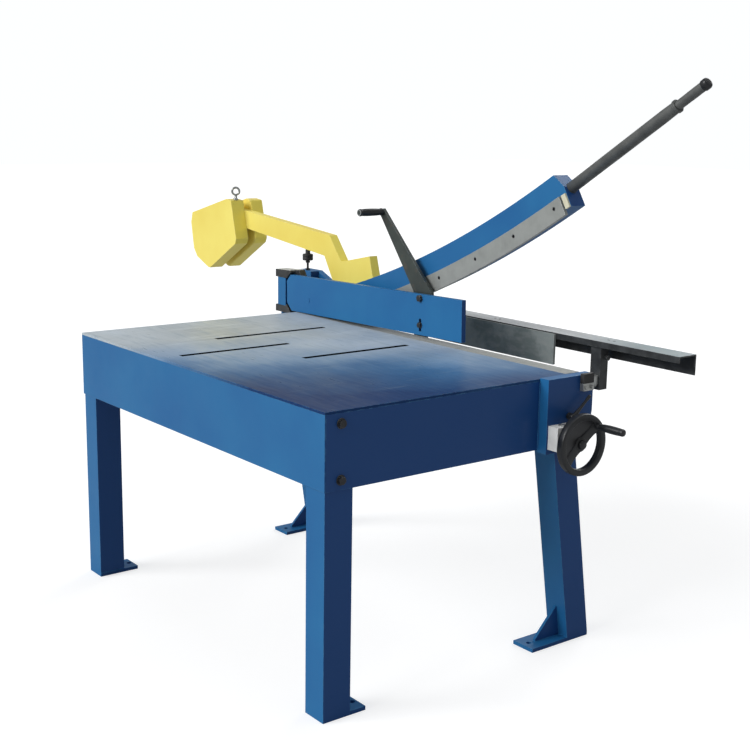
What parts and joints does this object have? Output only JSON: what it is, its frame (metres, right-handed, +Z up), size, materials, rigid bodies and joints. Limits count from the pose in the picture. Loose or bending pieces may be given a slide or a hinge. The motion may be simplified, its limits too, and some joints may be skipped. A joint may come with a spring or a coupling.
{
  "type": "lever guillotine shear",
  "caption": "Manual sheet-metal shear: curved blade on a counterweighted lever beam over a steel table, with hold-down, rack-driven back gauge and handwheel.",
  "frame": {"origin": "centre of the rectangle of four floor anchor holes, on the floor plane", "axes": "+X along the blade towards the handle, +Y from the feed side to the back gauge, +Z up"},
  "size_m": [2.2801, 1.096, 1.426],
  "materials": {
    "table_steel": "satin grey-blue table surface with fine grain",
    "blue_paint": "semi-gloss medium blue enamel",
    "ground_steel": "ground steel with fine grinding lines",
    "dark_fasteners": "black oxide",
    "bright_steel": "bright turned steel",
    "bronze": "bearing bronze",
    "black_rubber": "matt rubber",
    "black_paint": "satin black paint",
    "grey_casting": "light grey paint on a casting",
    "cream_primer": "cream primer",
    "dark_tube": "dark mottled steel tube",
    "black_plastic": "moulded black plastic",
    "yellow_paint": "semi-gloss pale yellow enamel",
    "lever_paint": "dark grey-green paint",
    "mill_scale": "dark mill scale"
  },
  "bodies": {
    "frame": {"table_top": "table_steel", "apron_front": "blue_paint", "apron_sides": "blue_paint", "bed_beam": "blue_paint", "bed_bar": "ground_steel", "lower_blade": "ground_steel", "lower_blade_screws": "dark_fasteners", "cheek_right": "blue_paint", "cheek_left": "blue_paint", "leg_front_left": "blue_paint", "leg_front_right": "blue_paint", "leg_rear_left": "blue_paint", "leg_rear_right": "blue_paint", "leg_bolts": "dark_fasteners", "pivot_plate_front": "blue_paint", "pivot_plate_rear": "blue_paint", "pivot_shaft": "bright_steel", "pivot_nut": "dark_fasteners", "thrust_washer": "bronze", "stop_bracket": "blue_paint", "stop_stud": "dark_fasteners", "stop_buffer": "black_rubber", "post_brackets": "black_paint", "hold_down_post": "blue_paint", "hold_down_pin": "dark_fasteners", "guide_hangers": "blue_paint", "shaft_bearings": "black_paint", "wheel_bearing_box": "grey_casting", "box_screw": "dark_fasteners", "side_stop_block": "bright_steel", "side_stop_pad": "black_rubber", "side_stop_bolts": "bright_steel"},
    "blade": {"blade_beam": "blue_paint", "pivot_bush": "bronze", "upper_blade": "ground_steel", "blade_screws": "dark_fasteners", "blade_end_block": "cream_primer", "handle_tube": "dark_tube", "handle_collar": "dark_tube", "handle_rod": "dark_tube", "handle_cap": "black_plastic", "counterweight_arm": "yellow_paint", "arm_bolts": "dark_fasteners", "counterweight_front": "yellow_paint", "counterweight_rear": "yellow_paint", "eye_bolt": "bright_steel"},
    "hold_down": {"hold_down_bar": "blue_paint", "depth_stop": "mill_scale", "hold_down_bolts": "dark_fasteners"},
    "clamp_lever": {"clamp_lever": "lever_paint"},
    "lever_grip": {"lever_grip": "black_plastic"},
    "gauge": {"gauge_bar": "black_paint", "stop_plate": "mill_scale", "carriages": "black_paint", "rack_bars": "bright_steel"},
    "handwheel": {"handwheel": "black_plastic", "wheel_shaft": "bright_steel"},
    "wheel_grip": {"wheel_grip": "black_plastic"},
    "cross_shaft": {"cross_shaft": "bright_steel"},
    "lock_lever": {"lock_lever": "black_plastic"}
  },
  "joints": [
    {"name": "blade_swing", "type": "hinge", "parent": "frame", "child": "blade", "pos_m": [-0.48, 0.4273, 0.775], "axis": [0, 1, 0], "range_deg": [0, 22]},
    {"name": "hold_down_tilt", "type": "hinge", "parent": "frame", "child": "hold_down", "pos_m": [-0.534, 0.3545, 0.76], "axis": [0, 1, 0], "range_deg": [0, 1.2]},
    {"name": "clamp_lever_swing", "type": "hinge", "parent": "hold_down", "child": "clamp_lever", "pos_m": [0.01858, 0.375, 0.83359], "axis": [0, 1, 0], "range_deg": [0, 70]},
    {"name": "lever_grip_spin", "type": "hinge", "parent": "clamp_lever", "child": "lever_grip", "pos_m": [-0.19, 0.33, 1.061], "axis": [0, 1, 0], "continuous": true},
    {"name": "gauge_travel", "type": "slide", "parent": "frame", "child": "gauge", "axis": [0, 1, 0], "range_m": [-0.14, 0.25]},
    {"name": "handwheel_turn", "type": "hinge", "parent": "frame", "child": "handwheel", "pos_m": [0.6, 0.308, 0.56], "axis": [1, 0, 0], "range_deg": [-402, 717]},
    {"name": "cross_shaft_turn", "type": "hinge", "parent": "frame", "child": "cross_shaft", "pos_m": [0, 0.308, 0.602], "axis": [1, 0, 0], "range_deg": [-717, 402]},
    {"name": "wheel_grip_spin", "type": "hinge", "parent": "handwheel", "child": "wheel_grip", "pos_m": [0.74, 0.35661, 0.60007], "axis": [1, 0, 0], "continuous": true},
    {"name": "lock_lever_swing", "type": "hinge", "parent": "frame", "child": "lock_lever", "pos_m": [0.645, 0.316, 0.62], "axis": [1, 0, 0], "range_deg": [0, 100]}
  ],
  "couplings": [
    {"joint": "clamp_lever_swing", "follows": "hold_down_tilt", "ratio": 58.3},
    {"joint": "handwheel_turn", "follows": "gauge_travel", "rad_per_m": 50},
    {"joint": "cross_shaft_turn", "follows": "gauge_travel", "rad_per_m": -50}
  ]
}
